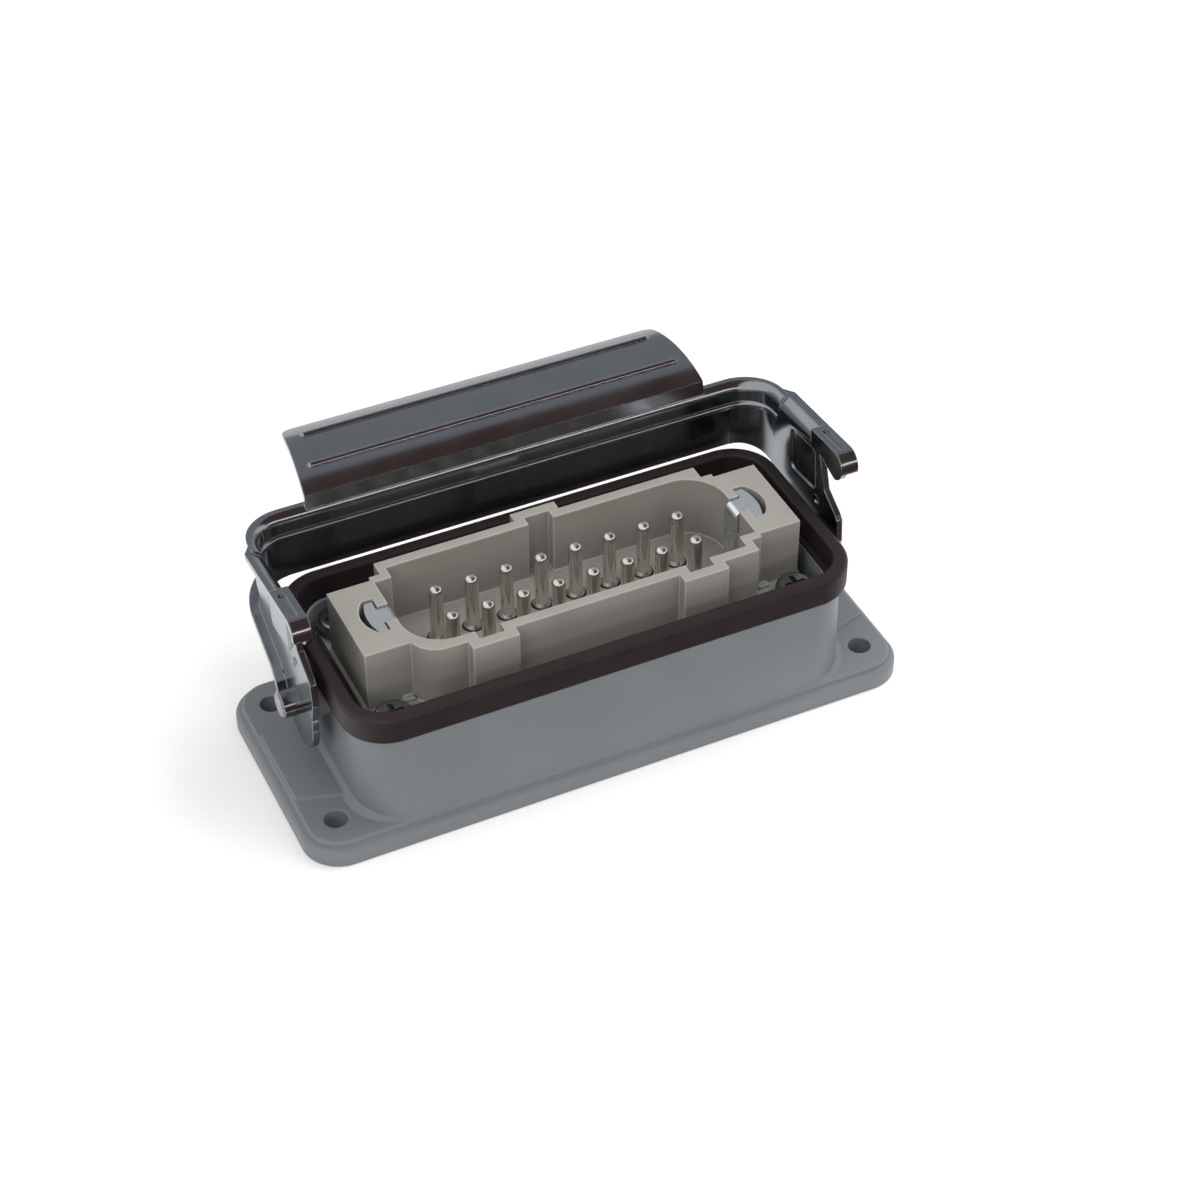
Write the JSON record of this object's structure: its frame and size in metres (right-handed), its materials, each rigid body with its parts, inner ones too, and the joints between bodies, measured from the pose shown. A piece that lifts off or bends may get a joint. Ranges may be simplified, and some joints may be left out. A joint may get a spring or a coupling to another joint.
{
  "type": "heavy duty rectangular connector",
  "caption": "Bulkhead half of a rectangular industrial connector: grey cast housing with flange and rim gasket, pin insert with earth clips, and one swinging bail lever with hooks.",
  "frame": {"origin": "centre of the underside of the flange, on the panel face", "axes": "+X along the long side of the flange, +Y to the side where the lever bar rests, +Z out of the panel along the mating direction"},
  "size_m": [0.116, 0.0656, 0.0447],
  "materials": {
    "painted_casting": "fine powder coat, satin",
    "rubber": "smooth moulded",
    "stone_plastic": "fine moulded, matt",
    "zinc_steel": "zinc plated",
    "silver_sheet": "silver plated",
    "silver_pin": "silver plated, smooth",
    "dark_steel": "dark bright finish"
  },
  "bodies": {
    "base": {"housing": "painted_casting", "rim_gasket": "rubber", "panel_gasket": "rubber", "insert_body": "stone_plastic", "terminal_block": "stone_plastic", "insert_screws": "zinc_steel", "terminal_screws": "zinc_steel", "earth_screws": "zinc_steel", "earth_clip_left": "silver_sheet", "earth_clip_right": "silver_sheet", "pivot_pin_left": "dark_steel", "pivot_pin_right": "dark_steel", "contact_pin_01": "silver_pin", "contact_pin_02": "silver_pin", "contact_pin_03": "silver_pin", "contact_pin_04": "silver_pin", "contact_pin_05": "silver_pin", "contact_pin_06": "silver_pin", "contact_pin_07": "silver_pin", "contact_pin_08": "silver_pin", "contact_pin_09": "silver_pin", "contact_pin_10": "silver_pin", "contact_pin_11": "silver_pin", "contact_pin_12": "silver_pin", "contact_pin_13": "silver_pin", "contact_pin_14": "silver_pin", "contact_pin_15": "silver_pin", "contact_pin_16": "silver_pin"},
    "lever": {"lever": "dark_steel"}
  },
  "joints": [
    {"name": "lever_hinge", "type": "hinge", "parent": "base", "child": "lever", "pos_m": [0, 0, 0.019], "axis": [1, 0, 0], "range_deg": [-42, 100]}
  ]
}
